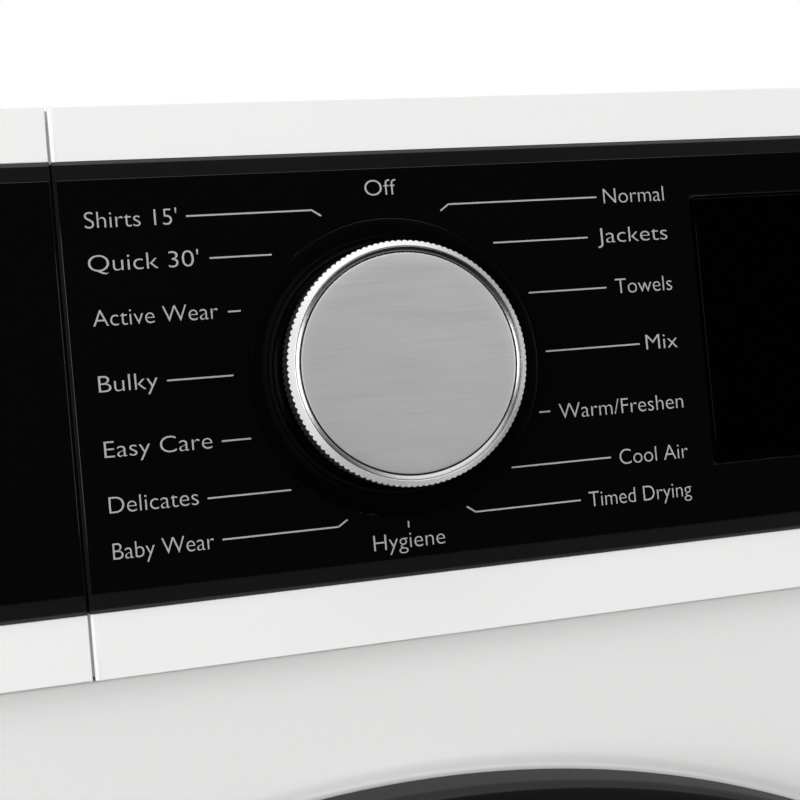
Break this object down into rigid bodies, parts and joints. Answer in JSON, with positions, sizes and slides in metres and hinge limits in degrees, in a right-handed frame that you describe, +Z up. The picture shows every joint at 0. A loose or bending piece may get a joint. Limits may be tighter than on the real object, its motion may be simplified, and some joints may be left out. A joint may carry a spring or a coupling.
{
  "type": "clothes dryer",
  "caption": "Front-loading condenser clothes dryer with a round hinged door, turning program dial, pull-out water drawer, belt-driven drum and a flap in the plinth.",
  "frame": {"origin": "on the floor under the middle of the machine, at the base of its bounding box", "axes": "+X to the right seen from the front, the door faces -Y, +Z up"},
  "size_m": [0.595, 0.5999, 0.846],
  "materials": {
    "white_steel": "powder coated, satin",
    "white_abs": "moulded, semi-gloss",
    "white_laminate": "white laminate on board",
    "satin_black_abs": "moulded, satin black",
    "gloss_black": "polished black",
    "smoked_window": "smoked, polished",
    "knob_metal": "turned and brushed, knurled rim",
    "door_ring_abs": "moulded dark grey",
    "galvanised_steel": "galvanised sheet",
    "grey_plastic": "moulded grey",
    "dark_plastic": "moulded black",
    "drum_steel": "stainless sheet",
    "lifter_plastic": "moulded light grey",
    "bright_steel": "zinc plated",
    "aluminium_fins": "mill finish fins",
    "soft_rubber": "moulded rubber",
    "felt": "pressed felt",
    "tank_plastic": "milky moulded",
    "board": "coated circuit board",
    "lamp_lens": "frosted lens",
    "bowl_glass": "pressed glass"
  },
  "bodies": {
    "root": {"left_side_panel": "white_steel", "right_side_panel": "white_steel", "front_panel": "white_steel", "control_fascia": "white_abs", "kick_plate": "white_abs", "worktop": "white_laminate", "fascia_trim": "satin_black_abs", "dial_collar": "gloss_black", "display_window": "smoked_window", "rear_panel": "galvanised_steel", "heater_duct": "galvanised_steel", "motor_stator": "galvanised_steel", "front_bulkhead": "grey_plastic", "rear_bulkhead": "grey_plastic", "drawer_shelf": "grey_plastic", "fan_housing": "grey_plastic", "lint_filter": "grey_plastic", "door_lock": "grey_plastic", "base_tray": "dark_plastic", "levelling_feet": "dark_plastic", "power_inlet": "dark_plastic", "drain_pump": "dark_plastic", "rear_bearing": "dark_plastic", "moisture_strips": "drum_steel", "roller_axles": "bright_steel", "idler_spring": "bright_steel", "casing_screws": "bright_steel", "door_hinge_bracket": "bright_steel", "heater_element": "bright_steel", "condenser": "aluminium_fins", "drive_belt": "soft_rubber", "drain_hose": "soft_rubber", "drum_seals": "felt", "control_board": "board", "drum_lamp": "lamp_lens"},
    "drum": {"drum": "drum_steel", "drum_lifters": "lifter_plastic", "drum_shaft": "bright_steel"},
    "left_roller": {"left_support_roller": "soft_rubber"},
    "right_roller": {"right_support_roller": "soft_rubber"},
    "rotor": {"motor_rotor": "bright_steel", "motor_fans": "grey_plastic"},
    "tension_arm": {"idler_arm": "galvanised_steel"},
    "tension_wheel": {"idler_wheel": "grey_plastic"},
    "dial": {"program_dial": "knob_metal"},
    "option_1": {"option_button_1": "gloss_black"},
    "option_2": {"option_button_2": "gloss_black"},
    "option_3": {"option_button_3": "gloss_black"},
    "start": {"start_button": "gloss_black"},
    "drawer": {"water_tank": "tank_plastic", "drawer_front": "white_abs", "drawer_trim": "satin_black_abs"},
    "door": {"door_ring": "door_ring_abs", "door_lens": "gloss_black", "door_frame": "grey_plastic", "door_glass": "bowl_glass", "door_gasket": "soft_rubber", "door_hook": "bright_steel"},
    "flap": {"condenser_flap": "white_abs"},
    "lock_lever": {"condenser_lock": "grey_plastic"}
  },
  "joints": [
    {"name": "drum_spin", "type": "hinge", "parent": "root", "child": "drum", "pos_m": [0, 0, 0.464], "axis": [0, 1, 0], "continuous": true},
    {"name": "left_roller_spin", "type": "hinge", "parent": "root", "child": "left_roller", "pos_m": [-0.1711, -0.201, 0.21965], "axis": [0, 1, 0], "continuous": true},
    {"name": "right_roller_spin", "type": "hinge", "parent": "root", "child": "right_roller", "pos_m": [0.1711, -0.201, 0.21965], "axis": [0, 1, 0], "continuous": true},
    {"name": "motor_spin", "type": "hinge", "parent": "root", "child": "rotor", "pos_m": [0.15, 0, 0.115], "axis": [0, 1, 0], "continuous": true},
    {"name": "tension_arm_swing", "type": "hinge", "parent": "root", "child": "tension_arm", "pos_m": [0.028, 0.147, 0.12], "axis": [0, 1, 0], "range_deg": [0, 12], "stiffness_Nm_per_rad": 2, "springref_deg": -11.46},
    {"name": "tension_wheel_spin", "type": "hinge", "parent": "tension_arm", "child": "tension_wheel", "pos_m": [0.088, 0.135, 0.12], "axis": [0, 1, 0], "continuous": true},
    {"name": "dial_turn", "type": "hinge", "parent": "root", "child": "dial", "pos_m": [0.0048, -0.28, 0.788], "axis": [0, 1, 0], "continuous": true},
    {"name": "option_1_press", "type": "slide", "parent": "root", "child": "option_1", "axis": [0, 1, 0], "range_m": [0, 0.0012], "stiffness_N_per_m": 400},
    {"name": "option_2_press", "type": "slide", "parent": "root", "child": "option_2", "axis": [0, 1, 0], "range_m": [0, 0.0012], "stiffness_N_per_m": 400},
    {"name": "option_3_press", "type": "slide", "parent": "root", "child": "option_3", "axis": [0, 1, 0], "range_m": [0, 0.0012], "stiffness_N_per_m": 400},
    {"name": "start_press", "type": "slide", "parent": "root", "child": "start", "axis": [0, 1, 0], "range_m": [0, 0.0012], "stiffness_N_per_m": 400},
    {"name": "drawer_slide", "type": "slide", "parent": "root", "child": "drawer", "axis": [0, -1, 0], "range_m": [0, 0.3]},
    {"name": "door_swing", "type": "hinge", "parent": "root", "child": "door", "pos_m": [0.2225, -0.284, 0.4677], "axis": [0, 0, 1], "range_deg": [0, 160]},
    {"name": "flap_tilt", "type": "hinge", "parent": "root", "child": "flap", "pos_m": [-0.16, -0.2645, 0.024], "axis": [1, 0, 0], "range_deg": [0, 95]},
    {"name": "lock_lever_turn", "type": "hinge", "parent": "root", "child": "lock_lever", "pos_m": [-0.1715, -0.24, 0.084], "axis": [0, 1, 0], "range_deg": [0, 90]}
  ],
  "couplings": [
    {"joint": "left_roller_spin", "follows": "drum_spin", "ratio": -8.9333},
    {"joint": "right_roller_spin", "follows": "drum_spin", "ratio": -8.9333},
    {"joint": "motor_spin", "follows": "drum_spin", "ratio": 27.311},
    {"joint": "tension_wheel_spin", "follows": "drum_spin", "ratio": -14.575}
  ]
}
